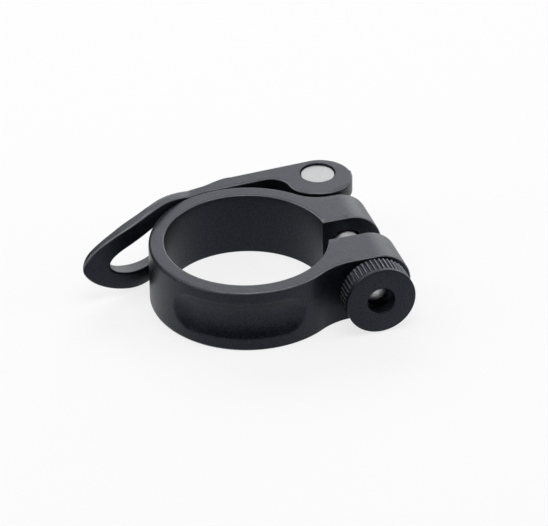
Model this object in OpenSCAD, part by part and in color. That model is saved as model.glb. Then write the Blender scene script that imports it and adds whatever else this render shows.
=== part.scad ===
// Quick-release seatpost clamp: a split collar closed by a cam lever, a skewer and a thumb nut.
// The bore's axis is Z and the collar's lower face is at z = 0.
// The slot opens towards +X, the lever lies on the +Y side and the nut on the -Y side.

/* [Collar] */
// Diameter of the bore that grips the seat tube
bore_d = 34.9; // [28:0.1:40]
// Thickness of the band round the bore
band_t = 3.3; // [2.8:0.1:4.5]
// Height of the collar
collar_h = 14.4; // [13.8:0.1:17]
// Width of the slot that closes when the lever is shut
slot_w = 6.6; // [5:0.1:8]
// Thickness of each ear
ear_t = 9.7; // [8.5:0.1:11]
// How far the slot and the ears sit off the bore's centre line, towards the nut
ear_shift = 2.25; // [1:0.05:3]
// Diameter of the hole through both ears, wide so that the skewer can tilt
ear_hole_d = 8.3; // [8:0.1:9]
// Depth of the flats, turned into the ears, that the washer and the saddle sit in
seat_depth = 0.2; // [0.15:0.05:0.4]
// Clear space between the seat tube and the skewer
tube_clear = 2.25; // [1.5:0.05:3]
// Radius of the hollow between the band and the nut's ear
near_blend_r = 14; // [10:0.5:18]
// Radius of the hollow between the band and the lever's ear
far_blend_r = 9; // [7:0.5:12]
// Depth of the hollow in the band's outer face
recess_depth = 0.9; // [0.5:0.05:1.2]
// Width of that hollow along the collar's height
recess_w = 8.7; // [7:0.1:10]
// Angle at which the hollow starts, measured from the slot towards the nut
recess_start = 71; // [68:1:80]
// Angle at which the hollow ends
recess_end = 155; // [140:1:160]
// Bevel at both ends of the bore
bore_bevel = 0.3; // [0.1:0.05:0.5]

/* [Skewer] */
// Diameter of the skewer
skewer_d = 6; // [5.6:0.1:6.4]
// Height of the skewer's axis: the loose skewer rides a little above the collar's middle
skewer_z = 7.8; // [7.7:0.05:8.2]
// Diameter of the skewer's end that screws into the pivot pin
skewer_end_d = 5; // [4.5:0.1:5.2]
// How deep the skewer's tip sits inside the nut
tip_depth = 2.2; // [1.5:0.1:3]

/* [Nut and washer] */
// Outer diameter of the thumb nut
nut_d = 15.2; // [14:0.1:15.4]
// Length of the thumb nut
nut_l = 5.2; // [4.8:0.1:6]
// Length of the knurl, from the back of the nut
knurl_l = 4; // [3:0.1:4.2]
// Number of grooves in the knurl
knurl_count = 48; // [36:1:60]
// Depth of each groove
knurl_depth = 0.35; // [0.2:0.05:0.45]
// Bevel round the nut's front face
nut_bevel = 0.5; // [0.3:0.05:0.7]
// Diameter of the washer behind the nut
washer_d = 12; // [11:0.1:13]
// Thickness of that washer
washer_t = 2; // [1.6:0.05:2.4]

/* [Lever] */
// Diameter of the pin that the lever turns on
pin_d = 7.4; // [7:0.1:8]
// How far the pin's ends sit below the faces of the lever's head
pin_sink = 0.4; // [0.2:0.05:0.6]
// Radius of the cam
cam_r = 7; // [6.6:0.1:7.6]
// Distance from the pivot to the cam's centre
cam_throw = 1.6; // [1.2:0.05:1.8]
// Height of the lever's head and arm
head_h = 13.2; // [12.6:0.1:14]
// Height of the blade at its widest
blade_h = 17.6; // [15:0.1:17.7]
// How far the blade's middle sits above the skewer's axis
blade_rise = 1.1; // [1.05:0.05:1.5]
// Gap between the band and the lever that wraps round it
lever_gap = 0.5; // [0.4:0.05:1.2]
// Thickness of the arm where it reaches the band
arm_t = 2.7; // [2.2:0.1:3.5]
// Thickness of the lever where it wraps the band
wrap_t = 2; // [1.8:0.1:2.6]
// Thickness of the blade where it leaves the band
blade_t = 2.7; // [2.2:0.1:3.2]
// Thickness of the blade near its tip
tip_t = 1.8; // [1.6:0.1:2.4]
// Length of the blade beyond the band
blade_l = 14; // [12:0.1:16]
// Length of the window from its highest point towards the blade's tip
window_nose_l = 12; // [9:0.1:12.5]
// Length of the window from its highest point towards the pivot
window_tail_l = 6.5; // [4:0.1:8]
// Height of the window
window_h = 8.7; // [7:0.1:9.5]
// How far the window's middle sits above the skewer's axis
window_rise = 0.9; // [0.6:0.05:1.3]
// Radius of the hollow between the arm and the head
neck_r = 4; // [3:0.1:5]

/* [Saddle] */
// Diameter of the saddle that the cam presses on
saddle_d = 11; // [10.6:0.1:12]
// Thickness of the saddle at its middle
saddle_t = 1.2; // [0.9:0.05:1.5]
// Height of the saddle's sides above its flat back
saddle_rise = 2.6; // [2:0.1:3]

/* [Hidden] */
$fn = 96;

// Clearances, and one overrun that all cuts share
turn_clear = 0.05;
thread_clear = 0.03;
loose_clear = 0.2;
swing_clear = 0.25;
seat_gap = 0.1;
over = 1;
// A blend is cut this much deeper than tangent, so that it meets the band and the ear at clean edges
blend_bite = 0.03;

// Collar
bore_r = bore_d / 2;
band_r = bore_r + band_t;
mid_z = collar_h / 2;
skewer_r = skewer_d / 2;
skewer_x = bore_r + tube_clear + skewer_r;
slot_y = -ear_shift;
near_face_y = slot_y - slot_w / 2 - ear_t;
far_face_y = slot_y + slot_w / 2 + ear_t;
ear_end_x = skewer_x + mid_z;
near_seat_y = near_face_y + seat_depth;
far_seat_y = far_face_y - seat_depth;
groove_r = (pow(recess_w / 2, 2) + pow(recess_depth, 2)) / (2 * recess_depth);
groove_path_r = band_r - recess_depth + groove_r;

// Cam, pivot and lever's head
cam_reach = cam_r + cam_throw;
pivot_y = far_seat_y + saddle_t + seat_gap + cam_reach;
cam_y = pivot_y - cam_throw;
heel_back = 0.26 * cam_r;
heel_drop = 0.1 * cam_r;
heel_r = cam_reach - norm([heel_back, cam_throw + heel_drop]);
heel_x = skewer_x - heel_back;
heel_y = cam_y - heel_drop;
neck_y = pivot_y - neck_r;
neck_x = heel_x - sqrt(pow(heel_r + neck_r, 2) - pow(heel_y - neck_y, 2));
neck_angle = atan2(heel_y - neck_y, heel_x - neck_x);
arc_steps = 20;
// Where the heel's circle and the cam's circle cross, as an angle about each centre
heel_shift = norm([heel_back, heel_drop]);
heel_angle = atan2(-heel_drop, -heel_back);
heel_meets_cam = heel_angle
    + acos((pow(cam_r, 2) - pow(heel_r, 2) + pow(heel_shift, 2)) / (2 * heel_shift * cam_r));
cam_meets_heel = atan2(cam_y + cam_r * sin(heel_meets_cam) - heel_y,
    skewer_x + cam_r * cos(heel_meets_cam) - heel_x);
fork_gap = skewer_d + 2 * loose_clear;
// The angle about the cam's centre where the arm's outer edge runs off the cam, and what it aims at
arm_aim_y = band_r + lever_gap + arm_t;
arm_angle = 90 + atan2(cam_y - arm_aim_y, skewer_x) + asin(cam_r / norm([skewer_x, cam_y - arm_aim_y]));

// The lever's middle line in plan: a wrap round the band, a flare away from it, then the blade
wrap_in_r = band_r + lever_gap;
wrap_from = 90;
wrap_to = 143;
wrap_steps = 12;
flare_r = 4.8;
flare_to = 200;
flare_steps = 8;
blade_to = 180;
blade_steps = 20;
nose_share = 0.2;

// Side view of the lever: half its height and the rise of its middle, as functions of x
leaf_from_x = -0.925 * band_r;
leaf_bend = 1.15;
leaf_power = 0.47;
swell_from_x = -0.18 * band_r;
swell_power = 1.15;
window_x = -0.75 * band_r;
side_steps = 40;

function smooth(t) = let (u = min(max(t, 0), 1)) u * u * (3 - 2 * u);
function mix(a, b, t) = a + (b - a) * t;
function polar(r, a) = [r * cos(a), r * sin(a)];
function arc(centre, r, from, to, steps) = [for (i = [0 : steps]) centre + polar(r, mix(from, to, i / steps))];

// Each station is a point on the lever's middle line, its heading and the thickness there
function wrap_thickness(t) = mix(arm_t, wrap_t, smooth(1.5 * t));
function wrap_station(t) =
    let (a = mix(wrap_from, wrap_to, t), w = wrap_thickness(t))
    [polar(wrap_in_r + w / 2, a), a + 90, w];
wrap_last = wrap_station(1);
flare_from = wrap_last[1];
flare_centre = wrap_last[0] + polar(flare_r, flare_from - 90);
function flare_station(t) =
    let (h = mix(flare_from, flare_to, t))
    [flare_centre + polar(flare_r, h + 90), h, mix(wrap_t, blade_t, smooth(t))];
flare_last = flare_station(1);
blade_r = blade_l / ((flare_to - blade_to) * PI / 180);
blade_centre = flare_last[0] + polar(blade_r, flare_to - 90);
tip_x = (blade_centre + polar(blade_r, blade_to + 90))[0];
function blade_station(t) =
    let (h = mix(flare_to, blade_to, t))
    [blade_centre + polar(blade_r, h + 90), h, mix(blade_t, tip_t, t)];

stations = concat(
    [for (i = [0 : wrap_steps]) wrap_station(i / wrap_steps)],
    [for (i = [1 : flare_steps]) flare_station(i / flare_steps)],
    [for (i = [1 : blade_steps]) blade_station(i / blade_steps)]);
station_count = len(stations);

// The nose: the outer face of the blade curves in to the inner face at the tip
function nose(i) =
    let (t = (i - (station_count - 1 - blade_steps)) / blade_steps, u = (t - 1 + nose_share) / nose_share)
    u <= 0 ? 1 : sqrt(max(1 - u * u, 0));
function inner_point(i) = let (s = stations[i]) s[0] + polar(s[2] / 2, s[1] + 90);
function outer_point(i) =
    let (s = stations[i]) s[0] + polar(s[2] / 2, s[1] + 90) + polar(s[2] * nose(i), s[1] - 90);

function leaf(x) = pow(max(1 - pow((leaf_from_x - x) / (leaf_from_x - tip_x), leaf_bend), 0), leaf_power);
function swell(x) = pow(min(max((swell_from_x - x) / (swell_from_x - leaf_from_x), 0), 1), swell_power);
function half_height(x) = x < leaf_from_x ? blade_h / 2 * leaf(x) : mix(head_h, blade_h, swell(x)) / 2;
function rise(x) = blade_rise * swell(x);

// A round bar along Y on the skewer's axis
module bar(y_from, y_to, r) {
    translate([skewer_x, y_from, skewer_z]) rotate([-90, 0, 0]) cylinder(h = y_to - y_from, r = r);
}

// The hollow between the band and an ear whose outer face lies at distance face from the middle line
module blend(face, r) {
    x = sqrt(pow(band_r + r, 2) - pow(face + r, 2));
    difference() {
        polygon([[0, 0], [x, 0], [x, face + r]]);
        translate([x, face + r]) circle(r + blend_bite);
    }
}

module collar_outline() {
    difference() {
        union() {
            circle(band_r);
            translate([0, near_face_y]) square([ear_end_x, far_face_y - near_face_y]);
            blend(far_face_y, far_blend_r);
            mirror([0, 1]) blend(-near_face_y, near_blend_r);
        }
        circle(bore_r);
        translate([0, slot_y - slot_w / 2]) square([ear_end_x + over, slot_w]);
    }
}

// Side view of the collar: the ears end in a half round about the middle of their height
module collar_side() {
    translate([-band_r - over, 0]) square([band_r + over + skewer_x, collar_h]);
    translate([skewer_x, mid_z]) circle(mid_z);
}

// The cutter for the flat on an ear that a round piece of diameter d seats on
module seat_flat(y_from, y_to, d) {
    translate([skewer_x, y_from, mid_z]) rotate([-90, 0, 0])
        cylinder(h = y_to - y_from, r = d / 2 + skewer_z - mid_z + loose_clear);
}

// The cutter for the hollow in the band's outer face
module recess() {
    translate([0, 0, mid_z]) rotate([0, 0, -recess_end]) rotate_extrude(angle = recess_end - recess_start)
        translate([groove_path_r, 0]) circle(groove_r);
}

module collar() {
    color("#3a3c42") difference() {
        intersection() {
            linear_extrude(collar_h) collar_outline();
            translate([0, band_r + over, 0]) rotate([90, 0, 0])
                linear_extrude(2 * (band_r + over)) collar_side();
        }
        recess();
        translate([skewer_x, near_face_y - over, mid_z]) rotate([-90, 0, 0])
            cylinder(h = far_face_y - near_face_y + 2 * over, d = ear_hole_d);
        seat_flat(near_seat_y - washer_d, near_seat_y, washer_d);
        seat_flat(far_seat_y, far_seat_y + saddle_d, saddle_d);
        cylinder(h = bore_bevel, r1 = bore_r + bore_bevel, r2 = bore_r);
        translate([0, 0, collar_h - bore_bevel])
            cylinder(h = bore_bevel, r1 = bore_r, r2 = bore_r + bore_bevel);
    }
}

module lever_outline() {
    // Cam, heel, neck, then the inner face to the tip and the outer face back to the cam
    polygon(concat(
        arc([skewer_x, cam_y], cam_r, arm_angle, heel_meets_cam, 3 * arc_steps),
        arc([heel_x, heel_y], heel_r, cam_meets_heel, neck_angle - 180, arc_steps),
        arc([neck_x, neck_y], neck_r, neck_angle, 90, arc_steps),
        [for (i = [0 : station_count - 1]) inner_point(i)],
        [for (i = [station_count - 2 : -1 : 0]) outer_point(i)]));
}

module lever_side() {
    from = skewer_x + cam_r + over;
    xs = concat([from], [for (i = [0 : side_steps]) mix(swell_from_x, tip_x, sqrt(i / side_steps))]);
    polygon(concat(
        [for (x = xs) [x, rise(x) + half_height(x)]],
        [for (i = [len(xs) - 2 : -1 : 0]) [xs[i], rise(xs[i]) - half_height(xs[i])]]));
}

module window_outline() {
    polygon([for (i = [0 : side_steps - 1])
        let (a = 360 * i / side_steps, reach = cos(a) > 0 ? window_tail_l : window_nose_l)
        [window_x + reach * cos(a), window_rise + window_h / 2 * sin(a)]]);
}

module lever() {
    reach_y = pivot_y + cam_r + over;
    color("#3a3c42") difference() {
        intersection() {
            translate([0, 0, skewer_z - blade_h]) linear_extrude(2 * blade_h) lever_outline();
            translate([0, reach_y, skewer_z]) rotate([90, 0, 0]) linear_extrude(reach_y) lever_side();
        }
        translate([0, reach_y, skewer_z]) rotate([90, 0, 0]) linear_extrude(reach_y) window_outline();
        translate([skewer_x - skewer_r - swing_clear, pivot_y - 2 * cam_r, skewer_z - fork_gap / 2])
            cube([2 * cam_r + skewer_r, 4 * cam_r, fork_gap]);
        translate([skewer_x, pivot_y, skewer_z - head_h / 2 - over])
            cylinder(h = head_h + 2 * over, r = pin_d / 2 + turn_clear);
    }
}

module pivot_pin() {
    color("#cfd0d2") difference() {
        translate([skewer_x, pivot_y, skewer_z - head_h / 2 + pin_sink])
            cylinder(h = head_h - 2 * pin_sink, d = pin_d);
        bar(pivot_y - pin_d, pivot_y + pin_d, skewer_end_d / 2 + thread_clear);
    }
}

module skewer() {
    tip_y = near_seat_y - washer_t - nut_l + tip_depth;
    shoulder_y = pivot_y - pin_d / 2 - loose_clear;
    color("#c4c6c9") {
        bar(tip_y, shoulder_y, skewer_r);
        bar(shoulder_y, pivot_y + skewer_end_d / 2, skewer_end_d / 2);
    }
}

module cam_saddle() {
    color("#1a1b1e") difference() {
        bar(far_seat_y, far_seat_y + saddle_rise, saddle_d / 2);
        bar(far_seat_y - over, far_seat_y + saddle_rise + over, skewer_r + loose_clear);
        translate([skewer_x, pivot_y, skewer_z - saddle_d])
            cylinder(h = 2 * saddle_d, r = cam_reach + seat_gap);
    }
}

module thumb_nut() {
    back_y = near_seat_y - washer_t;
    front_y = back_y - nut_l;
    nut_r = nut_d / 2;
    color("#2e3038") difference() {
        translate([skewer_x, back_y, skewer_z]) rotate([90, 0, 0]) {
            linear_extrude(knurl_l) difference() {
                circle(nut_r);
                for (i = [0 : knurl_count - 1]) rotate(360 * i / knurl_count)
                    translate([nut_r, 0]) circle(knurl_depth);
            }
            translate([0, 0, knurl_l]) cylinder(h = nut_l - knurl_l - nut_bevel, r = nut_r);
            translate([0, 0, nut_l - nut_bevel]) cylinder(h = nut_bevel, r1 = nut_r, r2 = nut_r - nut_bevel);
        }
        bar(front_y - over, back_y + over, skewer_r + turn_clear);
    }
}

module nut_washer() {
    color("#2a2b2e") difference() {
        bar(near_seat_y - washer_t, near_seat_y, washer_d / 2);
        bar(near_seat_y - washer_t - over, near_seat_y + over, skewer_r + loose_clear);
    }
}

collar();
lever();
pivot_pin();
skewer();
cam_saddle();
thumb_nut();
nut_washer();
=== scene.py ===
"""Seatpost clamp with a cam lever: the dressed model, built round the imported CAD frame.

Shape values are in millimetres and are turned into metres when a mesh is made. x runs from the
band's middle to the ears, y from the nut to the lever's head, and z up.
"""

import math

import bmesh
import bpy
from mathutils import Matrix, Vector, kdtree


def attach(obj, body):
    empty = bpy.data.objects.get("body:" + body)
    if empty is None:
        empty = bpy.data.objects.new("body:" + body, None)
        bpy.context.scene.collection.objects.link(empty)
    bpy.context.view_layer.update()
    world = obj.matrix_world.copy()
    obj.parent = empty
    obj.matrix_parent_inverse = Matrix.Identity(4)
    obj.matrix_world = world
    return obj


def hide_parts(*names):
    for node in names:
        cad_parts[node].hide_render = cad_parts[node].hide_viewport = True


MM = 0.001
SHARP_FROM = 30  # degrees between two faces from which their edge stays sharp
SAME_PLACE = 0.002

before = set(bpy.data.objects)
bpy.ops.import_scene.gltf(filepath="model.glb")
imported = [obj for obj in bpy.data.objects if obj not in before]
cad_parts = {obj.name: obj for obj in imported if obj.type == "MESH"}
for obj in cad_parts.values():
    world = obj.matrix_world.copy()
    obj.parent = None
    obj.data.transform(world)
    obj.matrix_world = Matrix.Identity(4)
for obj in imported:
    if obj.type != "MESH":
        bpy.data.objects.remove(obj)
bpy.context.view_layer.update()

# Collar
BORE_R = 17.45
BAND_R = 20.75
COLLAR_H = 14.4
MID_Z = COLLAR_H / 2
SLOT_NEAR_Y = -5.55
SLOT_FAR_Y = 1.05
NEAR_FACE_Y = -15.25
FAR_FACE_Y = 10.75
NEAR_BLEND_R = 14
FAR_BLEND_R = 9
NEAR_TURN_X = 24.4
FAR_TURN_X = 23.4
EAR_HOLE_R = 4.15
SEAT_DEPTH = 0.2
SEAT_PLAY = 0.2
INNER_EDGE = 0.25
EAR_EDGE = 0.25
BAND_EDGE_LEFT = 0.9
BAND_EDGE_DOWN = 1.0
RECESS_DEPTH = 1.35
RECESS_HALF = 4.35
RECESS_FROM = math.radians(-155)
RECESS_TO = math.radians(-71)
RECESS_END = 4.6

# Skewer, nut and washer
SKEWER_X = 22.7
SKEWER_Z = 7.8
SKEWER_R = 3
SKEWER_END_R = 2.5
SKEWER_TIP_Y = -18.9
TIP_DOME_R = 3.6
TIP_R = SKEWER_R - 0.55
THREAD_PITCH = 1
THREAD_DEPTH = 0.4
THREAD_SINK = 0.05
THREAD_TO_Y = -10
THREAD_ROWS = 10  # rows of points in one turn
NUT_R = 7.6
NUT_BORE_R = 3
NUT_PLAY = 0.06
NUT_MOUTH = 2.6
NUT_BACK_Y = -17.05
NUT_FRONT_Y = -22.25
KNURL_COUNT = 48
KNURL_DEPTH = 0.6
KNURL_LENGTH = 4.25
FLUTE_HALF = 0.4
WASHER_R = 6
WASHER_HOLE_R = 3.2
WASHER_BACK_Y = -15.05

# Cam, pivot pin and saddle
PIVOT_Y = 20.45
CAM_R = 7
CAM_Y = 18.85
CAM_REACH = 8.6
PIN_R = 3.7
PIN_HOLE_R = 3.75
PIN_SINK = 0.4
PIN_PLAY = 0.04
SADDLE_R = 5.5
SADDLE_BACK_Y = 10.55
SADDLE_RISE = 2.6

# Lever
HEAD_H = 13.2
BLADE_H = 16.8
BLADE_RISE = 0.7
LEVER_GAP = 0.3
ARM_T = 4.4
WRAP_T = 2.5
BLADE_T = 3.4
TIP_T = 2
BLADE_L = 10.4
FLARE_R = 24.6
SHOULDER_FROM = math.radians(80)
SHOULDER_TO = math.radians(98)
WRAP_TO = math.radians(133)
FLARE_TO = math.radians(200)
BLADE_TO = math.radians(182.5)
NECK_R = 4
NECK_RISE = 1.05
SWELL_FROM_X = -0.298 * BAND_R
SWELL_EASE = 1.35
LEAF_FROM_X = -0.864 * BAND_R
LEAF_SIDE = 1.62
LEAF_TIP = 0.555
HEAD_EDGE = 0.5
BLADE_EDGE = 1.5
LEVER_INNER_EDGE = 0.3
WINDOW_X = -0.75 * BAND_R
WINDOW_NOSE_L = 12
WINDOW_TAIL_L = 6.5
WINDOW_H = 8.5
WINDOW_RISE = 0.4
WINDOW_EDGE = 0.45
FORK_GAP = 6.4
FORK_PLAY = 0.25


def lerp(a, b, t):
    return a + (b - a) * t


def smooth(t):
    t = min(max(t, 0), 1)
    return t * t * (3 - 2 * t)


def polar(radius, angle):
    return Vector((radius * math.cos(angle), radius * math.sin(angle)))


def arc(centre, radius, start, end, steps):
    return [Vector(centre) + polar(radius, lerp(start, end, k / steps)) for k in range(steps + 1)]


def line(start, end, steps):
    return [Vector(start).lerp(Vector(end), k / steps) for k in range(steps + 1)]


def joined(*paths):
    """The paths one after the other, without the points at which they meet twice."""
    out = list(paths[0])
    for path in paths[1:]:
        out.extend(path[1:])
    return out


# Meshes

def mesh_object(name, vertices, faces, sharp=SHARP_FROM):
    mesh = bpy.data.meshes.new(name)
    mesh.from_pydata([Vector(v) * MM for v in vertices], [], faces)
    shape = bmesh.new()
    shape.from_mesh(mesh)
    bmesh.ops.remove_doubles(shape, verts=shape.verts, dist=SAME_PLACE * MM)
    bmesh.ops.dissolve_degenerate(shape, edges=shape.edges, dist=SAME_PLACE / 2 * MM)
    bmesh.ops.recalc_face_normals(shape, faces=shape.faces)
    shape.to_mesh(mesh)
    shape.free()
    mesh.shade_smooth()
    mesh.set_sharp_from_angle(angle=math.radians(sharp))
    piece = bpy.data.objects.new(name, mesh)
    bpy.context.scene.collection.objects.link(piece)
    return piece


def cut(piece, cutters):
    """Takes the cutters out of the piece and deletes them."""
    for cutter in cutters:
        step = piece.modifiers.new("cut", "BOOLEAN")
        step.object = cutter
        step.solver = "EXACT"
    graph = bpy.context.evaluated_depsgraph_get()
    mesh = bpy.data.meshes.new_from_object(piece.evaluated_get(graph))
    piece.modifiers.clear()
    piece.data = mesh
    for cutter in cutters:
        bpy.data.objects.remove(cutter)
    mesh.shade_smooth()
    mesh.set_sharp_from_angle(angle=math.radians(SHARP_FROM))


def even_shading(piece):
    """Lets the large faces set the normals, so that flat faces look flat up to their rims."""
    step = piece.modifiers.new("even shading", "WEIGHTED_NORMAL")
    step.keep_sharp = True
    step.weight = 80


def grid_faces(rows, columns, wrap_rows=False, wrap_columns=True):
    """Quads between rows of points that were laid one after the other."""
    faces = []
    for row in range(rows if wrap_rows else rows - 1):
        for column in range(columns if wrap_columns else columns - 1):
            after, beside = (row + 1) % rows, (column + 1) % columns
            faces.append((row * columns + column, row * columns + beside,
                          after * columns + beside, after * columns + column))
    return faces


def lathe(name, profile, place, steps=96, closed=False, sharp=SHARP_FROM):
    """Turns a profile of (radius, height) about an axis.

    place puts (radius, angle, height) in space. Where the radius is a function, it is called
    with the angle and the height. A closed profile ends where it starts.
    """
    vertices = []
    for radius, height in profile:
        for k in range(steps):
            angle = math.tau * k / steps
            reach = radius(angle, height) if callable(radius) else radius
            vertices.append(place(max(reach, 0), angle, height))
    return mesh_object(name, vertices, grid_faces(len(profile), steps, wrap_rows=closed), sharp)


def about_skewer(radius, angle, height):
    return SKEWER_X + radius * math.cos(angle), height, SKEWER_Z + radius * math.sin(angle)


def about_ear_hole(radius, angle, height):
    return SKEWER_X + radius * math.cos(angle), height, MID_Z + radius * math.sin(angle)


def about_pivot(radius, angle, height):
    return SKEWER_X + radius * math.cos(angle), PIVOT_Y + radius * math.sin(angle), height


def rounding(radius, steps=4):
    """Offsets (inwards, below the top) of a quarter round, from the wall to the top face."""
    quarter = [math.radians(90 * k / steps) for k in range(steps + 1)]
    return [(radius * (1 - math.cos(a)), radius * (1 - math.sin(a))) for a in quarter]


def rim_ring(inner, inner_way, outer, outer_way, middle, half, inner_edge, outer_edge, rows):
    """One closed ring round a wall between an inner and an outer point, with rounded rims.

    middle and half are (inner, outer) heights, and an edge is (across, down). rows gives the
    divisions of the inner wall, its rounding, the top, the outer rounding and the outer wall,
    for the upper half.
    """
    in_rows, in_round, top_rows, out_round, out_rows = rows
    upper = []
    for k in range(in_rows):
        upper.append((inner, 0, (half[0] - inner_edge[1]) * k / in_rows))
    for k in range(in_round + 1):
        a = math.radians(90 * k / in_round)
        upper.append((inner + inner_way * inner_edge[0] * (1 - math.cos(a)), 0,
                      half[0] - inner_edge[1] * (1 - math.sin(a))))
    start = inner + inner_way * inner_edge[0]
    end = outer + outer_way * outer_edge[0]
    for k in range(1, top_rows):
        t = k / top_rows
        upper.append((start.lerp(end, t), t, lerp(half[0], half[1], t)))
    for k in range(out_round + 1):
        a = math.radians(90 - 90 * k / out_round)
        upper.append((outer + outer_way * outer_edge[0] * (1 - math.cos(a)), 1,
                      half[1] - outer_edge[1] * (1 - math.sin(a))))
    for k in range(out_rows - 1, -1, -1):
        upper.append((outer, 1, (half[1] - outer_edge[1]) * k / out_rows))
    lower = [(point, t, -height) for point, t, height in upper[-2:0:-1]]
    return [(point.x, point.y, lerp(middle[0], middle[1], t) + height)
            for point, t, height in upper + lower]


def inward_ways(outline):
    """Unit directions into a closed outline, one for each point."""
    area = sum(b.x * a.y - b.y * a.x for a, b in zip(outline, outline[-1:] + outline))
    turn = 1 if area > 0 else -1
    ways = []
    for k in range(len(outline)):
        run = outline[(k + 1) % len(outline)] - outline[k - 1]
        ways.append(turn * Vector((-run.y, run.x)).normalized())
    return ways


# Edge wear and painted highlight: a share from 0 to 1 at each point, which the anodised materials
# read and turn into pale metal that also stands in for bright edge lines

WEAR_AND_HIGHLIGHT_LAYER = "edge"


def write_wear_and_highlight(piece, shares):
    layer = piece.data.attributes.new(WEAR_AND_HIGHLIGHT_LAYER, "FLOAT", "POINT")
    layer.data.foreach_set("value", shares)


def edge_marks(piece, wear_and_highlight_at=lambda place: True):
    """Each point's place in metres, and how strongly the surface bends outwards there.

    It is called before the piece is cut, so that the cut edges get neither wear nor painted
    highlight.
    """
    full_bend, flat_bend = 2.5 / MM, 1.0 / MM
    narrowest, widest = 0.01 * MM, 0.5 * MM
    bends = [0.0] * len(piece.data.vertices)
    shape = bmesh.new()
    shape.from_mesh(piece.data)
    for edge in shape.edges:
        if len(edge.link_faces) != 2 or not edge.is_convex:
            continue
        start, run = edge.verts[0].co, (edge.verts[1].co - edge.verts[0].co).normalized()
        width = sum((face.calc_center_median() - start).cross(run).length
                    for face in edge.link_faces)
        if width > widest:
            continue
        bend = edge.calc_face_angle(0) / max(width, narrowest)
        share = min(max((bend - flat_bend) / (full_bend - flat_bend), 0), 1)
        for vertex in edge.verts:
            if wear_and_highlight_at(vertex.co / MM):
                bends[vertex.index] = max(bends[vertex.index], share)
    shape.free()
    return [(vertex.co.copy(), bends[vertex.index]) for vertex in piece.data.vertices]


def write_marks(piece, marks):
    """Writes the marks to the points that are where they were found, and 0 to all others."""
    tree = kdtree.KDTree(len(marks))
    for k, (place, _) in enumerate(marks):
        tree.insert(place, k)
    tree.balance()
    shares = []
    for vertex in piece.data.vertices:
        _, k, distance = tree.find(vertex.co)
        shares.append(marks[k][1] if distance < SAME_PLACE * MM else 0.0)
    write_wear_and_highlight(piece, shares)


# Collar

def recess_depth_at(angle, height):
    """Depth of the hollow in the band's outer face: a shallow trough with rounded ends."""
    from_end = min(angle - RECESS_FROM, RECESS_TO - angle) * BAND_R
    if from_end <= 0:
        return 0
    across = abs(height - MID_Z) / RECESS_HALF
    along = min(max(1 - from_end / RECESS_END, 0), 1)
    fall = 1 - (across ** 2 + along ** 2)
    soft, nothing_left = 0.03, -0.5
    if fall <= nothing_left:
        return 0
    return RECESS_DEPTH * (fall + math.sqrt(fall * fall + soft * soft)) / 2


def collar_stations():
    """Inner and outer points of the collar from the nut's ear round the band to the other ear."""
    near_x = math.sqrt((BAND_R + NEAR_BLEND_R) ** 2 - (NEAR_FACE_Y - NEAR_BLEND_R) ** 2)
    far_x = math.sqrt((BAND_R + FAR_BLEND_R) ** 2 - (FAR_FACE_Y + FAR_BLEND_R) ** 2)
    near_centre = Vector((near_x, NEAR_FACE_Y - NEAR_BLEND_R))
    far_centre = Vector((far_x, FAR_FACE_Y + FAR_BLEND_R))
    near_end = math.atan2(near_centre.y, near_centre.x)
    far_end = math.atan2(far_centre.y, far_centre.x)
    near_corner = math.asin(SLOT_NEAR_Y / BORE_R)
    far_corner = math.asin(SLOT_FAR_Y / BORE_R)
    straight, corner, blend, band = 6, 8, 22, 270
    near_break = lerp(math.pi / 2, near_end + math.pi, corner / (corner + blend))
    far_break = lerp(far_end - math.pi, -math.pi / 2, blend / (corner + blend))
    inner = joined(
        line((NEAR_TURN_X, SLOT_NEAR_Y), (near_x, SLOT_NEAR_Y), straight),
        line((near_x, SLOT_NEAR_Y), polar(BORE_R, near_corner), corner),
        arc((0, 0), BORE_R, near_corner, near_end, blend),
        arc((0, 0), BORE_R, near_end, far_end - math.tau, band),
        arc((0, 0), BORE_R, far_end, far_corner, blend),
        line(polar(BORE_R, far_corner), (far_x, SLOT_FAR_Y), corner),
        line((far_x, SLOT_FAR_Y), (FAR_TURN_X, SLOT_FAR_Y), straight))
    outer = joined(
        line((NEAR_TURN_X, NEAR_FACE_Y), (near_x, NEAR_FACE_Y), straight),
        arc(near_centre, NEAR_BLEND_R, math.pi / 2, near_break, corner),
        arc(near_centre, NEAR_BLEND_R, near_break, near_end + math.pi, blend),
        arc((0, 0), BAND_R, near_end, far_end - math.tau, band),
        arc(far_centre, FAR_BLEND_R, far_end - math.pi, far_break, blend),
        arc(far_centre, FAR_BLEND_R, far_break, -math.pi / 2, corner),
        line((far_x, FAR_FACE_Y), (FAR_TURN_X, FAR_FACE_Y), straight))
    return inner, outer


def seat_cutter():
    """The hole through both ears, with the flats that the washer and the saddle sit in."""
    near_seat_r = WASHER_R + SKEWER_Z - MID_Z + SEAT_PLAY
    far_seat_r = SADDLE_R + SKEWER_Z - MID_Z + SEAT_PLAY
    edge, beyond = 0.25, 9
    near_y, far_y = NEAR_FACE_Y + SEAT_DEPTH, FAR_FACE_Y - SEAT_DEPTH
    profile = [
        (0, near_y - beyond), (near_seat_r, near_y - beyond), (near_seat_r, near_y),
        (EAR_HOLE_R + edge, near_y), (EAR_HOLE_R, near_y + edge),
        (EAR_HOLE_R, SLOT_NEAR_Y - edge), (EAR_HOLE_R + 2 * edge, SLOT_NEAR_Y + edge),
        (EAR_HOLE_R + 2 * edge, SLOT_FAR_Y - edge), (EAR_HOLE_R, SLOT_FAR_Y + edge),
        (EAR_HOLE_R, far_y - edge), (EAR_HOLE_R + edge, far_y),
        (far_seat_r, far_y), (far_seat_r, far_y + beyond), (0, far_y + beyond)]
    return lathe("seat cutter", profile, about_ear_hole, steps=128)


def outer_rim_edge(place):
    """How far the outer rim's rounding reaches (across, down): most on the band's left."""
    left = max(-place.x / BAND_R, 0) ** 2.5
    return lerp(EAR_EDGE, BAND_EDGE_LEFT, left), lerp(EAR_EDGE, BAND_EDGE_DOWN, left)


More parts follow.
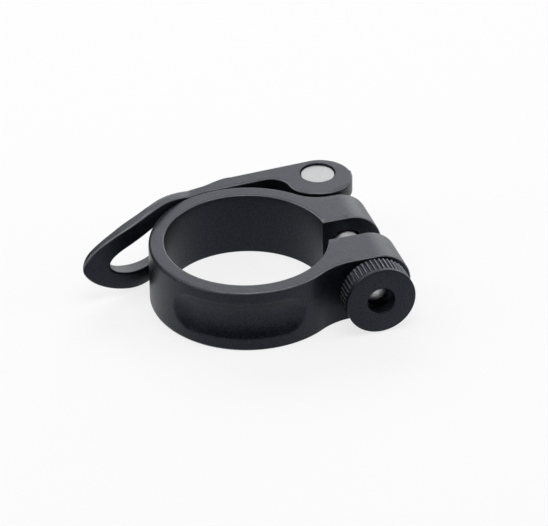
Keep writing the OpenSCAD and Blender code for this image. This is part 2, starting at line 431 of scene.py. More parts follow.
def collar_wear_and_highlight_at(place):
    """Edge wear and painted highlight go all over the ears, but on the band only at its rims, not
    round the hollow.
    """
    return place.x > BAND_R or abs(place.z - MID_Z) > MID_Z - 2 * EAR_EDGE


def ear_end_faces(vertices, first, size):
    """Ends an ear in a half turn of its last ring's upper half about its middle height."""
    half, turns = size // 2, 48
    rings = [[first + j for j in range(half + 1)]]
    for k in range(1, turns):
        a = math.pi * k / turns
        ring = [first]
        for j in range(1, half):
            x, y, z = vertices[first + j]
            ring.append(len(vertices))
            vertices.append((x + (z - MID_Z) * math.sin(a), y, MID_Z + (z - MID_Z) * math.cos(a)))
        rings.append(ring + [first + half])
    rings.append([first + (size - j) % size for j in range(half + 1)])
    return [(ring[j], ring[j + 1], after[j + 1], after[j])
            for ring, after in zip(rings, rings[1:]) for j in range(half)]


def make_collar():
    inner, outer = collar_stations()
    ways = inward_ways(inner[::-1] + outer)
    inner_ways, outer_ways = ways[:len(inner)][::-1], ways[len(inner):]
    for k in (0, -1):
        inner_ways[k] = Vector((0, -1 if k == 0 else 1))
        outer_ways[k] = -inner_ways[k]
    rows = (5, 4, 6, 8, 22)
    wall_margin = 0.01
    vertices = []
    for p, p_way, q, q_way in zip(inner, inner_ways, outer, outer_ways):
        ring = rim_ring(p, p_way, q, q_way, (MID_Z, MID_Z), (MID_Z, MID_Z),
                        (INNER_EDGE, INNER_EDGE), outer_rim_edge(q), rows)
        for x, y, z in ring:
            reach, angle = math.hypot(x, y), math.atan2(y, x)
            depth = recess_depth_at(angle, z) if reach > BAND_R - wall_margin else 0
            vertices.append((x * (1 - depth / reach), y * (1 - depth / reach), z))
    size = len(ring)
    faces = grid_faces(len(inner), size)
    for first in (0, (len(inner) - 1) * size):
        faces.extend(ear_end_faces(vertices, first, size))
    piece = mesh_object("clamp_collar", vertices, faces)
    marks = edge_marks(piece, collar_wear_and_highlight_at)
    cut(piece, [seat_cutter()])
    write_marks(piece, marks)
    even_shading(piece)
    return piece


# Lever

def wrap_thickness(angle):
    """The arm's thickness, which falls at the shoulder."""
    past_shoulder = (angle - SHOULDER_FROM) / (SHOULDER_TO - SHOULDER_FROM)
    return lerp(ARM_T, WRAP_T, smooth(past_shoulder))


def wrap_station(angle):
    """Middle point, heading and thickness of the arm where it follows the band."""
    thickness = wrap_thickness(angle)
    return polar(BAND_R + LEVER_GAP + thickness / 2, angle), angle + math.pi / 2, thickness


WRAP_END, FLARE_FROM, _ = wrap_station(WRAP_TO)
FLARE_CENTRE = WRAP_END + polar(FLARE_R, FLARE_FROM - math.pi / 2)


def flare_station(t):
    """The same where the arm turns away from the band."""
    heading = lerp(FLARE_FROM, FLARE_TO, t)
    place = FLARE_CENTRE + polar(FLARE_R, heading + math.pi / 2)
    return place, heading, lerp(WRAP_T, BLADE_T, smooth(t))


FLARE_END = flare_station(1)[0]
BLADE_R = BLADE_L / (FLARE_TO - BLADE_TO)
BLADE_CENTRE = FLARE_END + polar(BLADE_R, FLARE_TO - math.pi / 2)
TIP_X = (BLADE_CENTRE + polar(BLADE_R, BLADE_TO + math.pi / 2)).x


def blade_station(t):
    """The same along the blade, which bends back a little."""
    heading = lerp(FLARE_TO, BLADE_TO, t)
    place = BLADE_CENTRE + polar(BLADE_R, heading + math.pi / 2)
    return place, heading, lerp(BLADE_T, TIP_T, t)


def nose(t):
    """Share of the thickness that is left along the blade: it rounds off in the last fifth."""
    return math.sqrt(max(1 - max(5 * t - 4, 0) ** 2, 0))


def swell(x):
    """Share of the blade's extra height and rise that is reached at x."""
    t = min(max((SWELL_FROM_X - x) / (SWELL_FROM_X - LEAF_FROM_X), 0), 1)
    return 1 - (1 - t) ** SWELL_EASE


def half_height(x):
    """Half the lever's height: level at the head, growing along the arm, a leaf at the blade."""
    if x < LEAF_FROM_X:
        share = (LEAF_FROM_X - x) / (LEAF_FROM_X - TIP_X)
        return BLADE_H / 2 * max(1 - share ** LEAF_SIDE, 0) ** LEAF_TIP
    return lerp(HEAD_H, BLADE_H, swell(x)) / 2


def lever_outline():
    """Inner and outer points of the lever in plan, from the cam's far side to the blade's tip."""
    cam_steps, heel_steps, neck_steps, run_steps, back_steps = 44, 10, 14, 16, 40
    shoulder_steps, wrap_steps, flare_steps, blade_steps = 12, 46, 24, 60
    heel_back, heel_drop = 0.26 * CAM_R, 0.1 * CAM_R
    heel = Vector((SKEWER_X - heel_back, CAM_Y - heel_drop))
    heel_r = CAM_REACH - math.hypot(heel_back, CAM_Y - PIVOT_Y - heel_drop)
    neck_y = PIVOT_Y + NECK_RISE - NECK_R
    neck_x = heel.x - math.sqrt((heel_r + NECK_R) ** 2 - (heel.y - neck_y) ** 2)
    neck_angle = math.atan2(heel.y - neck_y, heel.x - neck_x)
    shift = math.hypot(heel_back, heel_drop)
    cam_end = math.atan2(-heel_drop, -heel_back) + math.acos(
        (CAM_R ** 2 - heel_r ** 2 + shift ** 2) / (2 * shift * CAM_R))
    cam_centre = Vector((SKEWER_X, CAM_Y))
    meeting = cam_centre + polar(CAM_R, cam_end) - heel
    shoulder_angles = [lerp(SHOULDER_FROM, math.pi / 2, k / shoulder_steps)
                       for k in range(shoulder_steps + 1)]
    shoulder = [polar(BAND_R + LEVER_GAP + wrap_thickness(a), a) for a in shoulder_angles]
    to_cam = cam_centre - shoulder[0]
    arm_angle = math.pi / 2 + math.atan2(to_cam.y, to_cam.x) + math.asin(CAM_R / to_cam.length)
    stations = [wrap_station(lerp(math.pi / 2, WRAP_TO, k / wrap_steps))
                for k in range(wrap_steps + 1)]
    stations += [flare_station(k / flare_steps) for k in range(1, flare_steps + 1)]
    along = [math.sin(math.pi / 2 * k / blade_steps) for k in range(1, blade_steps + 1)]
    stations += [blade_station(t) for t in along]
    shares = [1] * (wrap_steps + 1 + flare_steps) + [nose(t) for t in along]
    inner_side = [p + polar(w / 2, h + math.pi / 2) for p, h, w in stations]
    outer_side = [q + polar(w * share, h - math.pi / 2)
                  for q, (_, h, w), share in zip(inner_side, stations, shares)]
    inner = joined(
        arc(cam_centre, CAM_R, 0, cam_end, cam_steps),
        arc(heel, heel_r, math.atan2(meeting.y, meeting.x), neck_angle - math.pi, heel_steps),
        arc((neck_x, neck_y), NECK_R, neck_angle, math.pi / 2, neck_steps),
        line((neck_x, neck_y + NECK_R), inner_side[0], run_steps + shoulder_steps),
        inner_side)
    outer = joined(
        arc(cam_centre, CAM_R, 0, arm_angle, cam_steps),
        line(cam_centre + polar(CAM_R, arm_angle), shoulder[0], back_steps),
        shoulder,
        outer_side)
    return inner, outer


def window_cutter(inner, outer):
    """The cutter for the window, with its rims rounded along the blade's own faces."""
    def depth_on(path, x):
        for a, b in zip(path, path[1:]):
            if (a.x - x) * (b.x - x) <= 0 and a.x != b.x and a.x < 0:
                return lerp(a.y, b.y, (x - a.x) / (b.x - a.x))
        return path[-1].y
    steps, edge, beyond = 96, WINDOW_EDGE, 3
    rows = [(inner, 1, -beyond)]
    rows += [(inner, across / edge, below) for across, below in rounding(edge)[::-1]]
    rows += [(outer, across / edge, -below) for across, below in rounding(edge)]
    rows += [(outer, 1, beyond)]
    vertices = []
    for side, flare, along in rows:
        for k in range(steps):
            a = math.tau * k / steps
            way = Vector((math.cos(a), math.sin(a)))
            reach = WINDOW_TAIL_L if way.x > 0 else WINDOW_NOSE_L
            x = WINDOW_X + (reach + edge * flare) * way.x
            z = SKEWER_Z + WINDOW_RISE + (WINDOW_H / 2 + edge * flare) * way.y
            vertices.append((x, depth_on(side, x) + along, z))
    faces = grid_faces(len(rows), steps)
    faces.append(tuple(range(steps)))
    faces.append(tuple(range((len(rows) - 1) * steps, len(rows) * steps)))
    return mesh_object("window cutter", vertices, faces)


def fork_cutter():
    """The slot in the lever's head that the skewer swings through, with a rounded floor."""
    low, high = SKEWER_Z - FORK_GAP / 2, SKEWER_Z + FORK_GAP / 2
    floor_x = SKEWER_X - SKEWER_R - FORK_PLAY
    corner, corner_steps, beyond = 0.8, 6, 14
    side = [Vector((SKEWER_X + beyond, low)), Vector((SKEWER_X + beyond, high))]
    side += arc((floor_x + corner, high - corner), corner, math.pi / 2, math.pi, corner_steps)
    side += arc((floor_x + corner, low + corner), corner, math.pi, 1.5 * math.pi, corner_steps)
    count = len(side)
    vertices = [(p.x, y, p.y) for y in (PIVOT_Y - beyond, PIVOT_Y + beyond) for p in side]
    faces = grid_faces(2, count) + [tuple(range(count)), tuple(range(count, 2 * count))]
    return mesh_object("fork cutter", vertices, faces)


def pin_hole_cutter():
    low, high = SKEWER_Z - HEAD_H / 2, SKEWER_Z + HEAD_H / 2
    edge, beyond = 0.15, 2
    profile = [
        (0, low - beyond), (PIN_HOLE_R + edge, low - beyond), (PIN_HOLE_R + edge, low),
        (PIN_HOLE_R, low + edge), (PIN_HOLE_R, high - edge),
        (PIN_HOLE_R + edge, high), (PIN_HOLE_R + edge, high + beyond), (0, high + beyond)]
    return lathe("pin hole cutter", profile, about_pivot, steps=128)


def make_lever():
    inner, outer = lever_outline()
    loop = inner[::-1] + outer[1:-1]
    ways = inward_ways(loop)
    inner_ways = ways[:len(inner)][::-1]
    outer_ways = [inner_ways[0]] + ways[len(inner):] + [inner_ways[-1]]
    rows = (8, 4, 8, 8, 8)
    vertices = []
    for p, p_way, q, q_way in zip(inner, inner_ways, outer, outer_ways):
        width = (q - p).length
        half = (half_height(p.x), half_height(q.x))
        middle = (SKEWER_Z + BLADE_RISE * swell(p.x), SKEWER_Z + BLADE_RISE * swell(q.x))
        out_edge = min(lerp(HEAD_EDGE, BLADE_EDGE, swell(p.x)), 0.5 * width)
        in_edge = min(LEVER_INNER_EDGE, 0.3 * width, 0.5 * half[0])
        vertices.extend(rim_ring(p, p_way, q, q_way, middle, half, (in_edge, in_edge),
                                 (out_edge, min(out_edge, 0.8 * half[1])), rows))
    size = len(vertices) // len(inner)
    piece = mesh_object("cam_lever", vertices, grid_faces(len(inner), size))
    marks = edge_marks(piece)
    cut(piece, [window_cutter(inner, outer), fork_cutter(), pin_hole_cutter()])
    write_marks(piece, marks)
    even_shading(piece)
    return piece


# Turned pieces

def thread_radius(angle, height):
    """Radius of the skewer's right-hand thread, with a flat root and a flat crest."""
    root_flat, crest_flat = 1.25, 1.3
    phase = (height / THREAD_PITCH + angle / math.tau) % 1
    ridge = 1 - min(abs(2 * phase - 1) * root_flat, 1)
    return SKEWER_R - THREAD_SINK - THREAD_DEPTH * (1 - min(ridge * crest_flat, 1))


def make_skewer():
    """The skewer, from its domed tip to the end that is screwed into the pivot pin."""
    shoulder_play, chamfer, thread_root, run_out, step = 0.2, 0.3, 0.25, 0.5, 0.1
    shoulder_y = PIVOT_Y - PIN_R - shoulder_play
    end_y = PIVOT_Y + SKEWER_END_R
    tip = [(TIP_R * share,
            SKEWER_TIP_Y + TIP_DOME_R - math.sqrt(TIP_DOME_R ** 2 - (TIP_R * share) ** 2))
           for share in (0, 0.2, 0.4, 0.6, 0.8, 0.92, 1)]
    thread_from = tip[-1][1] + step
    count = int((THREAD_TO_Y - thread_from) / THREAD_PITCH * THREAD_ROWS)
    thread = [(thread_radius, thread_from + k * THREAD_PITCH / THREAD_ROWS)
              for k in range(count + 1)]
    shank = [
        (SKEWER_R - thread_root, THREAD_TO_Y + step), (SKEWER_R, THREAD_TO_Y + run_out),
        (SKEWER_R, shoulder_y - chamfer), (SKEWER_R - chamfer, shoulder_y),
        (SKEWER_END_R, shoulder_y), (SKEWER_END_R, end_y), (0, end_y)]
    return lathe("skewer_bolt", tip + thread + shank, about_skewer, steps=72, sharp=40)


def knurl_radius(angle, height):
    """Radius of the nut's rim: round flutes with lands between them, run out at the front."""
    phase = angle / math.tau * KNURL_COUNT % 1 - 0.5
    across = phase * math.tau * NUT_R / KNURL_COUNT / FLUTE_HALF
    end = (NUT_BACK_Y - KNURL_LENGTH - height) / KNURL_DEPTH
    run_out = math.sqrt(max(1 - max(end + 1, 0) ** 2, 0))
    return NUT_R - KNURL_DEPTH * math.sqrt(max(1 - across * across, 0)) * run_out


def nut_bore_radius(angle, height):
    return thread_radius(angle, height) + NUT_PLAY


def make_nut():
    """The nut, whose hole is plain at the front and threaded behind, and whose lands carry pale
    bare metal that is wear and a painted highlight along each land.
    """
    knurl_front = NUT_BACK_Y - KNURL_LENGTH
    rim_edge, mouth_edge, run_out, back_edge, lead, step = 0.22, 0.2, 0.4, 0.3, 0.25, 0.1
    front = [(NUT_BORE_R + mouth_edge, NUT_FRONT_Y)]
    front += [(NUT_R - across, NUT_FRONT_Y + below)
              for across, below in rounding(rim_edge, 3)[::-1]]
    knurl = [(knurl_radius, lerp(knurl_front, knurl_front + run_out, k / 4)) for k in range(5)]
    knurl += [(knurl_radius, lerp(knurl_front + run_out, NUT_BACK_Y - back_edge, k / 3))
              for k in range(1, 4)]
    back = [(NUT_R - 0.45, NUT_BACK_Y), (NUT_BORE_R + back_edge, NUT_BACK_Y),
            (NUT_BORE_R + 0.05, NUT_BACK_Y - lead)]
    depth = abs(NUT_FRONT_Y - NUT_BACK_Y) - lead - NUT_MOUTH
    count = int(depth / THREAD_PITCH * THREAD_ROWS)
    bore = [(nut_bore_radius, NUT_BACK_Y - back_edge - k * depth / count)
            for k in range(count + 1)]
    mouth = [(NUT_BORE_R, NUT_FRONT_Y + NUT_MOUTH - step), (NUT_BORE_R, NUT_FRONT_Y + mouth_edge)]
    piece = lathe("knurled_nut", front + knurl + back + bore + mouth, about_skewer,
                  steps=KNURL_COUNT * 12, closed=True, sharp=35)
    # every knurl land gets full pale metal: wear, and a painted highlight along the land
    shares, nearly, wear_and_highlight_from = [], 0.02, knurl_front + 0.3
    for vertex in piece.data.vertices:
        x, y, z = vertex.co / MM
        on_land = math.hypot(x - SKEWER_X, z - SKEWER_Z) > NUT_R - nearly
        shares.append(1.0 if on_land and y > wear_and_highlight_from else 0.0)
    write_wear_and_highlight(piece, shares)
    return piece


def make_pin():
    """The pin through the lever's head, with the skewer's hole across it."""
    low, high = SKEWER_Z - HEAD_H / 2 + PIN_SINK, SKEWER_Z + HEAD_H / 2 - PIN_SINK
    edge, disc_rings = 0.15, (0, 0.25, 0.9)
    bottom = [(radius, low) for radius in (*disc_rings, PIN_R - edge)]
    wall = [(PIN_R, low + edge), (PIN_R, high - edge)]
    top = [(radius, high) for radius in (PIN_R - edge, *disc_rings[::-1])]
    piece = lathe("pivot_barrel", bottom + wall + top, about_pivot)
    hole_r = SKEWER_END_R + PIN_PLAY
    profile = [(0, PIVOT_Y - 2 * PIN_R), (hole_r, PIVOT_Y - 2 * PIN_R),
               (hole_r, PIVOT_Y + 2 * PIN_R), (0, PIVOT_Y + 2 * PIN_R)]
    cut(piece, [lathe("cross hole cutter", profile, about_skewer, steps=48)])
    even_shading(piece)
    return piece


def make_washer():
    edge = [(WASHER_R - a, NUT_BACK_Y + d) for a, d in rounding(0.2)]
    back = [(WASHER_R, WASHER_BACK_Y), (WASHER_HOLE_R, WASHER_BACK_Y), (WASHER_HOLE_R, NUT_BACK_Y)]
    return lathe("nut_washer_ring", edge[::-1] + back, about_skewer, closed=True)


def make_saddle():
    """A round pad with a hollow seat for the cam, cut along the pivot's axis."""
    front = SADDLE_BACK_Y + SADDLE_RISE
    rim = [(SADDLE_R, SADDLE_BACK_Y)]
    rim += [(SADDLE_R - a, front - d) for a, d in rounding(0.25)]
    profile = rim + [(WASHER_HOLE_R, front), (WASHER_HOLE_R, SADDLE_BACK_Y)]
    piece = lathe("cam_pad", profile, about_skewer, closed=True)
    reach, beyond = CAM_REACH + 0.1, 12
    seat = [(0, SKEWER_Z - beyond), (reach, SKEWER_Z - beyond),
            (reach, SKEWER_Z + beyond), (0, SKEWER_Z + beyond)]
    cut(piece, [lathe("seat of the cam", seat, about_pivot, steps=192)])
    return piece


# Shader groups

MIX_SHARE, MIX_FIRST, MIX_SECOND, MIX_RESULT = 0, 6, 7, 2  # the Mix node's colour sockets


def node_group(name, inputs, outputs):
    """An empty shader group with its sockets, and its input and output nodes."""
    group = bpy.data.node_groups.new(name, "ShaderNodeTree")
    for socket, kind, value in inputs:
        made = group.interface.new_socket(socket, in_out="INPUT", socket_type=kind)
        if value is not None:
            made.default_value = value
    for socket, kind in outputs:
        group.interface.new_socket(socket, in_out="OUTPUT", socket_type=kind)
    return group, group.nodes.new("NodeGroupInput"), group.nodes.new("NodeGroupOutput")


def math_node(tree, operation, a, b):
    node = tree.nodes.new("ShaderNodeMath")
    node.operation = operation
    for socket, value in zip(node.inputs, (a, b)):
        if isinstance(value, (int, float)):
            socket.default_value = value
        else:
            tree.links.new(value, socket)
    return node.outputs[0]


def vector_node(tree, operation, *vectors):
    node = tree.nodes.new("ShaderNodeVectorMath")
    node.operation = operation
    for socket, vector in zip(node.inputs, vectors):
        tree.links.new(vector, socket)
    return node.outputs["Value" if operation == "LENGTH" else "Vector"]


def noise_node(tree, place, scale, detail):
    node = tree.nodes.new("ShaderNodeTexNoise")
    node.inputs["Detail"].default_value = detail
    tree.links.new(place, node.inputs["Vector"])
    if isinstance(scale, (int, float)):
        node.inputs["Scale"].default_value = scale
    else:
        tree.links.new(scale, node.inputs["Scale"])
    return node.outputs["Fac"]


def mixed_colour(tree, share, first, second):
    """The first colour where the share is 0, the second where it is 1."""
    node = tree.nodes.new("ShaderNodeMix")
    node.data_type = "RGBA"
    tree.links.new(share, node.inputs[MIX_SHARE])
    tree.links.new(first, node.inputs[MIX_FIRST])
    tree.links.new(second, node.inputs[MIX_SECOND])
    return node.outputs[MIX_RESULT]


def blasted_skin_group():
    """The skin of bead-blasted metal: fine pits, and a slow change of tone."""
    group, given, put = node_group(
        "blasted skin",
        [("Grain per metre", "NodeSocketFloat", 3600.0), ("Pit Height", "NodeSocketFloat", 1.0),
         ("Tone", "NodeSocketColor", (0.03, 0.03, 0.035, 1)),
         ("Pale Tone", "NodeSocketColor", (0.05, 0.05, 0.06, 1)),
         ("Roughness", "NodeSocketFloat", 0.4)],
        [("Color", "NodeSocketColor"), ("Roughness", "NodeSocketFloat"),
         ("Height", "NodeSocketFloat")])
    coarse_per_metre, slow_per_metre = 700.0, 60.0
    coarse_share, speckle_share, roughness_swing = 0.35, 6.0, 0.12
    links = group.links
    place = group.nodes.new("ShaderNodeTexCoord").outputs["Object"]
    fine = noise_node(group, place, given.outputs["Grain per metre"], detail=3.0)
    coarse = noise_node(group, place, coarse_per_metre, detail=2.0)
    slow = noise_node(group, place, slow_per_metre, detail=2.0)
    pits = math_node(group, "ADD", fine, math_node(group, "MULTIPLY", coarse, coarse_share))
    height = math_node(group, "MULTIPLY", pits, given.outputs["Pit Height"])
    speckle = math_node(group, "MULTIPLY", math_node(group, "SUBTRACT", fine, 0.5), speckle_share)
    tone = math_node(group, "ADD", speckle, slow)
    colour = mixed_colour(group, tone, given.outputs["Tone"], given.outputs["Pale Tone"])
    swing = math_node(group, "MULTIPLY", math_node(group, "SUBTRACT", slow, 0.5), roughness_swing)
    roughness = math_node(group, "ADD", given.outputs["Roughness"], swing)
    links.new(height, put.inputs["Height"])
    links.new(colour, put.inputs["Color"])
    links.new(roughness, put.inputs["Roughness"])
    return group


def turned_marks_group():
    """Fine rings left by a lathe about an axis through Centre. Flatten has a 0 along the axis."""
    group, given, put = node_group(
        "turned marks",
        [("Centre", "NodeSocketVector", None), ("Flatten", "NodeSocketVector", None),
         ("Rings per metre", "NodeSocketFloat", 9000.0), ("Ring Height", "NodeSocketFloat", 1.0)],
        [("Height", "NodeSocketFloat")])
    links = group.links
    place = group.nodes.new("ShaderNodeTexCoord").outputs["Object"]
    shift = vector_node(group, "SUBTRACT", place, given.outputs["Centre"])
    flat = vector_node(group, "MULTIPLY", shift, given.outputs["Flatten"])
    reach = vector_node(group, "LENGTH", flat)
    rings = group.nodes.new("ShaderNodeTexNoise")
    rings.noise_dimensions = "1D"
    rings.inputs["Scale"].default_value = 1.0
    rings.inputs["Detail"].default_value = 3.0
    links.new(math_node(group, "MULTIPLY", reach, given.outputs["Rings per metre"]),
              rings.inputs["W"])
    height = math_node(group, "MULTIPLY", rings.outputs["Fac"], given.outputs["Ring Height"])
    links.new(height, put.inputs["Height"])
    return group


def wear_and_highlight_edges_group():
    """Pale bare metal along an outward edge, where handling has thinned the colour, made bright
    enough to be a painted highlight on the edge as well.
    """
    group, given, put = node_group(
        "edge wear and painted highlight",
        [("Color", "NodeSocketColor", (0.01, 0.01, 0.01, 1)),
         ("Bare Tone", "NodeSocketColor", (0.3, 0.31, 0.33, 1)),
         ("Wear", "NodeSocketFloat", 0.4)],
        [("Color", "NodeSocketColor"), ("Metallic", "NodeSocketFloat")])
    patches_per_metre = 240.0
    links = group.links
    place = group.nodes.new("ShaderNodeTexCoord").outputs["Object"]
    edge = group.nodes.new("ShaderNodeAttribute")
    edge.attribute_name = WEAR_AND_HIGHLIGHT_LAYER
    patches = noise_node(group, place, patches_per_metre, detail=3.0)
    patches = math_node(group, "ADD", patches, 0.5)
    patchy_wear_and_highlight = math_node(group, "MULTIPLY", patches, given.outputs["Wear"])
    wear_and_highlight = math_node(group, "MULTIPLY", edge.outputs["Fac"], patchy_wear_and_highlight)
    colour = mixed_colour(group, wear_and_highlight, given.outputs["Color"], given.outputs["Bare Tone"])
    links.new(colour, put.inputs["Color"])
    links.new(wear_and_highlight, put.inputs["Metallic"])
    return group


BLASTED_SKIN = blasted_skin_group()
EDGE_WEAR_AND_HIGHLIGHT = wear_and_highlight_edges_group()
TURNED_MARKS = turned_marks_group()


# Materials

SKIN_TONE = (0.0005, 0.0008, 0.002, 1)
SKIN_PALE_TONE = (0.013, 0.0145, 0.0195, 1)
SKIN_SPECULAR = 0.3
SKIN_SPECULAR_TINT = (0.72, 0.79, 1)
# pale metal on edges and knurl lands: partly wear, partly painted highlight
BARE_HIGHLIGHT_TONE = (0.3, 0.31, 0.33, 1)
BRIGHT_STEEL_TONE = (0.85, 0.855, 0.865)
PIN_STEEL_TONE = (0.33, 0.335, 0.34)
STEEL_PALER = 1.1
ACETAL_TONE = (0.012, 0.012, 0.013, 1)
ACETAL_PALE_TONE = (0.02, 0.02, 0.022, 1)
ALONG_SKEWER = {"Centre": (SKEWER_X * MM, 0, SKEWER_Z * MM), "Flatten": (1, 0, 1)}
ALONG_PIVOT = {"Centre": (SKEWER_X * MM, PIVOT_Y * MM, 0), "Flatten": (1, 1, 0)}


def placed(tree, group, **values):
    """A group's node, with values for its sockets. An underscore stands for a space."""
    node = tree.nodes.new("ShaderNodeGroup")
    node.node_tree = group
    for socket, value in values.items():
        node.inputs[socket.replace("_", " ")].default_value = value
    return node


def new_material(name, metallic, specular=0.5, specular_tint=(1, 1, 1)):
    material = bpy.data.materials.new(name)
    material.use_nodes = True
    shader = material.node_tree.nodes["Principled BSDF"]
    shader.inputs["Metallic"].default_value = metallic
    shader.inputs["Specular IOR Level"].default_value = specular
    shader.inputs["Specular Tint"].default_value = (*specular_tint, 1)
    return material, shader


def bumped(tree, shader, height, distance):
    bump = tree.nodes.new("ShaderNodeBump")
    bump.inputs["Distance"].default_value = distance
    bump.inputs["Strength"].default_value = 1.0
    tree.links.new(height, bump.inputs["Height"])
    tree.links.new(bump.outputs["Normal"], shader.inputs["Normal"])


def anodised(name, roughness, pits, wear_and_highlight, turned=False):
    """Black anodised aluminium, blasted, and turned on a lathe too where that is said."""
    material, shader = new_material(name, metallic=0.0, specular=SKIN_SPECULAR,
                                    specular_tint=SKIN_SPECULAR_TINT)
    tree = material.node_tree
    skin = placed(tree, BLASTED_SKIN, Tone=SKIN_TONE, Pale_Tone=SKIN_PALE_TONE,
                  Roughness=roughness)
    # pale metal along outward edges: wear, and a painted highlight on the edges
    worn_and_highlighted = placed(tree, EDGE_WEAR_AND_HIGHLIGHT, Bare_Tone=BARE_HIGHLIGHT_TONE, Wear=wear_and_highlight)
    height = skin.outputs["Height"]
    if turned:
        marks = placed(tree, TURNED_MARKS, Rings_per_metre=7000.0, Ring_Height=0.6, **ALONG_SKEWER)
        height = math_node(tree, "ADD", height, marks.outputs["Height"])
    tree.links.new(skin.outputs["Color"], worn_and_highlighted.inputs["Color"])
    tree.links.new(worn_and_highlighted.outputs["Color"], shader.inputs["Base Color"])
    tree.links.new(worn_and_highlighted.outputs["Metallic"], shader.inputs["Metallic"])
    tree.links.new(skin.outputs["Roughness"], shader.inputs["Roughness"])
    bumped(tree, shader, height, pits * MM)
    return material


def steel(name, tone, roughness, axis, marks_height):
    material, shader = new_material(name, metallic=1.0)
    tree = material.node_tree
    paler = [value * STEEL_PALER for value in tone]
    marks = placed(tree, TURNED_MARKS, Rings_per_metre=11000.0, Ring_Height=1.0, **axis)
    skin = placed(tree, BLASTED_SKIN, Tone=(*tone, 1), Pale_Tone=(*paler, 1), Roughness=roughness)
    tree.links.new(skin.outputs["Color"], shader.inputs["Base Color"])
    tree.links.new(skin.outputs["Roughness"], shader.inputs["Roughness"])
    bumped(tree, shader, marks.outputs["Height"], marks_height * MM)
    return material


def moulded_plastic(name, tone, pale_tone):
    material, shader = new_material(name, metallic=0.0, specular=0.4)
    tree = material.node_tree
    skin = placed(tree, BLASTED_SKIN, Grain_per_metre=2500.0, Tone=tone, Pale_Tone=pale_tone,
                  Roughness=0.5)
    tree.links.new(skin.outputs["Color"], shader.inputs["Base Color"])
    tree.links.new(skin.outputs["Roughness"], shader.inputs["Roughness"])
    bumped(tree, shader, skin.outputs["Height"], 0.008 * MM)
    return material


# the wear value sets how pale the edges get: edge wear together with a painted edge highlight
FINISHES = {
    "anodised": anodised("anodised collar", roughness=0.33, pits=0.06, wear_and_highlight=0.5),
    "lever_anodised": anodised("anodised lever", roughness=0.33, pits=0.06, wear_and_highlight=0.5),
    "nut_anodised": anodised("anodised nut", roughness=0.36, pits=0.03, wear_and_highlight=0.4, turned=True),
    "bright_steel": steel("bright steel", BRIGHT_STEEL_TONE, 0.58, ALONG_SKEWER, 0.01),
    "pin_steel": steel("faced steel", PIN_STEEL_TONE, 0.5, ALONG_PIVOT, 0.012),
    "black_acetal": moulded_plastic("black acetal", ACETAL_TONE, ACETAL_PALE_TONE),
}


def dress(piece, body, node, slot):
    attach(piece, body)
    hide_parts(node)
    piece.data.materials.clear()
    piece.data.materials.append(FINISHES[slot])


dress(make_collar(), "clamp", "collar", "anodised")
dress(make_lever(), "lever", "lever", "lever_anodised")
dress(make_skewer(), "clamp", "skewer", "bright_steel")
dress(make_pin(), "clamp", "pivot_pin", "pin_steel")
dress(make_saddle(), "clamp", "cam_saddle", "black_acetal")
dress(make_nut(), "nut", "thumb_nut", "nut_anodised")
dress(make_washer(), "washer", "nut_washer", "black_acetal")


# Stage: sizes and distances are in metres

FLOOR_SIZE = 6
FLOOR_COLOUR = (0.9, 0.9, 0.905, 1)
FLOOR_GLOW = 0.985
FLOOR_GLOW_SEEN = 0.78
FLOOR_GLOW_MIRRORED = 0.6
WORLD_STRENGTH = 0.03

# Name, azimuth, elevation, distance, size and radiance
SOFTBOXES = (
    ("back box", 178, 35, 0.9, (1.15, 0.45), 3.2),
    ("low back box", 143, 11, 0.9, (0.5, 0.32), 3.3),
    ("left box", -105, 35, 0.8, (0.4, 0.6), 2.5),
    ("right box", 75, 30, 0.8, (0.35, 0.6), 2.5),
    ("top box", 5, 78, 0.9, (0.6, 0.5), 4.2),
)


def make_floor():
    """A white floor that keeps its shadow, and that metal shows as white."""
    bpy.ops.mesh.primitive_plane_add(size=FLOOR_SIZE)
    floor = bpy.context.object
    floor.name = "floor"
    material, shader = new_material("pale floor", metallic=0.0, specular=0.1)
    shader.inputs["Base Color"].default_value = FLOOR_COLOUR
    shader.inputs["Roughness"].default_value = 0.9
    tree = material.node_tree
    glow = tree.nodes.new("ShaderNodeEmission")
    glow.inputs["Strength"].default_value = FLOOR_GLOW
    ray = tree.nodes.new("ShaderNodeLightPath").outputs
    mirrored = math_node(tree, "MAXIMUM", ray["Is Glossy Ray"], ray["Is Transmission Ray"])
    seen_share = math_node(tree, "MULTIPLY", ray["Is Camera Ray"], FLOOR_GLOW_SEEN)
    mirrored_share = math_node(tree, "MULTIPLY", mirrored, FLOOR_GLOW_MIRRORED)
    mix = tree.nodes.new("ShaderNodeMixShader")
    tree.links.new(math_node(tree, "ADD", seen_share, mirrored_share), mix.inputs["Fac"])
    tree.links.new(shader.outputs["BSDF"], mix.inputs[1])
    tree.links.new(glow.outputs["Emission"], mix.inputs[2])
    tree.links.new(mix.outputs["Shader"], tree.nodes["Material Output"].inputs["Surface"])
    floor.data.materials.append(material)


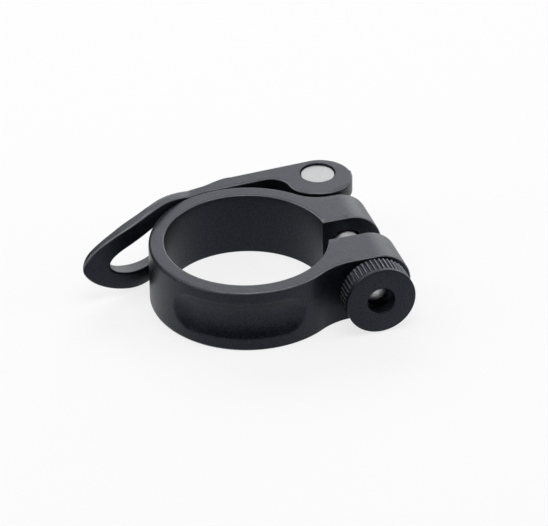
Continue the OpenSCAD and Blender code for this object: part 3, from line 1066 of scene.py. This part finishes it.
def softbox(name, azimuth, elevation, distance, size, radiance):
    """A square light that faces the clamp. radiance 1 looks white."""
    a, e = math.radians(azimuth), math.radians(elevation)
    way = Vector((math.sin(a) * math.cos(e), -math.cos(a) * math.cos(e), math.sin(e)))
    light = bpy.data.lights.new(name, "AREA")
    light.shape = "RECTANGLE"
    light.size, light.size_y = size
    light.energy = radiance * math.pi * size[0] * size[1]
    lamp = bpy.data.objects.new(name, light)
    lamp.location = way * distance
    lamp.rotation_euler = way.to_track_quat("Z", "Y").to_euler()
    bpy.context.scene.collection.objects.link(lamp)


def make_world(strength):
    world = bpy.data.worlds.new("studio")
    world.use_nodes = True
    back = world.node_tree.nodes["Background"]
    back.inputs["Color"].default_value = (1, 1, 1, 1)
    back.inputs["Strength"].default_value = strength
    bpy.context.scene.world = world


def make_camera():
    """The photograph's view, 548 x 526 pixels, from a fit to the collar's two rims.

    The focal length is in pixels, and the distance and the two slides are in millimetres.
    """
    width, focal, sensor, far_clip = 548, 5000, 36, 20
    azimuth, elevation, roll = math.radians(-17.5), math.radians(33.13), math.radians(-0.743)
    distance, slide_right, slide_down = 1066.42, 5.722, -7.085
    forward = -Vector((math.sin(azimuth) * math.cos(elevation),
                       -math.cos(azimuth) * math.cos(elevation), math.sin(elevation)))
    level = Vector((math.cos(azimuth), math.sin(azimuth), 0))
    down = forward.cross(level)
    right = level * math.cos(roll) - down * math.sin(roll)
    down = level * math.sin(roll) + down * math.cos(roll)
    place = -forward * distance + right * slide_right + down * slide_down
    data = bpy.data.cameras.new("camera")
    data.sensor_fit = "HORIZONTAL"
    data.sensor_width = sensor
    data.lens = focal * data.sensor_width / width
    data.clip_end = far_clip
    camera = bpy.data.objects.new("camera", data)
    turn = Matrix((right, -down, -forward)).transposed().to_4x4()
    camera.matrix_world = Matrix.Translation(place * MM) @ turn
    bpy.context.scene.collection.objects.link(camera)
    bpy.context.scene.camera = camera


make_floor()
make_world(WORLD_STRENGTH)
for values in SOFTBOXES:
    softbox(*values)
make_camera()

bpy.context.scene.view_settings.view_transform = "Standard"
